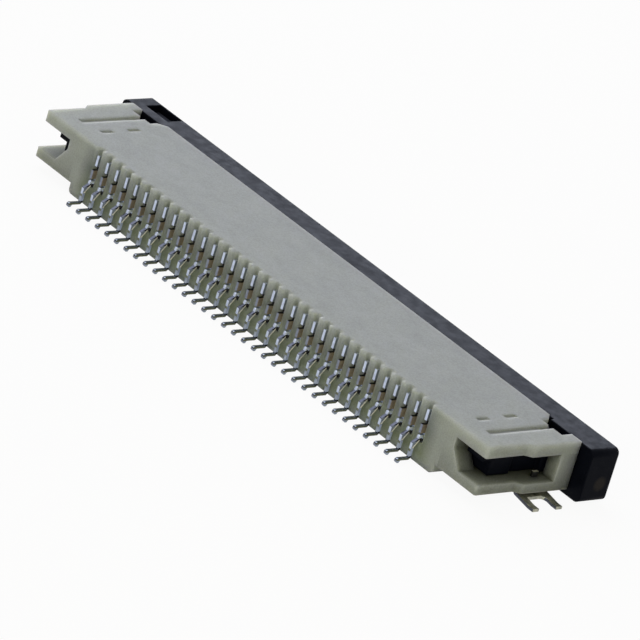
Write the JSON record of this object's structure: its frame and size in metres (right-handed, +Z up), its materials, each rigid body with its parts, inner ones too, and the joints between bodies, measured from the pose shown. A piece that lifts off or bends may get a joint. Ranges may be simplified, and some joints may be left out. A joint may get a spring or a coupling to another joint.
{
  "type": "flexible circuit connector",
  "caption": "Right-angle surface-mount connector for a flat flexible circuit: a slotted housing with a row of stamped contacts and solder tabs, and a slide lock that pulls out to open.",
  "frame": {"origin": "on the board plane, under the centre of the closed connector's bounding box", "axes": "+X along the row of contacts, from the marked end of the slider; +Y out of the circuit slot, the way the slider opens; +Z up from the board"},
  "size_m": [0.0468, 0.011, 0.0038],
  "materials": {
    "housing_resin": "glass-filled resin, off-white grey, matte",
    "slider_resin": "glass-filled resin, black, fine satin",
    "contact_tin": "tin-plated copper alloy, sheared edges",
    "tab_tin": "tin-plated copper alloy, slightly yellowed"
  },
  "bodies": {
    "base": {"housing": "housing_resin", "solder_tab_left": "tab_tin", "solder_tab_right": "tab_tin", "contact_01": "contact_tin", "contact_02": "contact_tin", "contact_03": "contact_tin", "contact_04": "contact_tin", "contact_05": "contact_tin", "contact_06": "contact_tin", "contact_07": "contact_tin", "contact_08": "contact_tin", "contact_09": "contact_tin", "contact_10": "contact_tin", "contact_11": "contact_tin", "contact_12": "contact_tin", "contact_13": "contact_tin", "contact_14": "contact_tin", "contact_15": "contact_tin", "contact_16": "contact_tin", "contact_17": "contact_tin", "contact_18": "contact_tin", "contact_19": "contact_tin", "contact_20": "contact_tin", "contact_21": "contact_tin", "contact_22": "contact_tin", "contact_23": "contact_tin", "contact_24": "contact_tin", "contact_25": "contact_tin", "contact_26": "contact_tin", "contact_27": "contact_tin", "contact_28": "contact_tin", "contact_29": "contact_tin", "contact_30": "contact_tin", "contact_31": "contact_tin", "contact_32": "contact_tin", "contact_33": "contact_tin", "contact_34": "contact_tin"},
    "slide_lock": {"slider": "slider_resin"}
  },
  "joints": [
    {"name": "slider_slide", "type": "slide", "parent": "base", "child": "slide_lock", "axis": [0, 1, 0], "range_m": [0, 0.0015]}
  ]
}
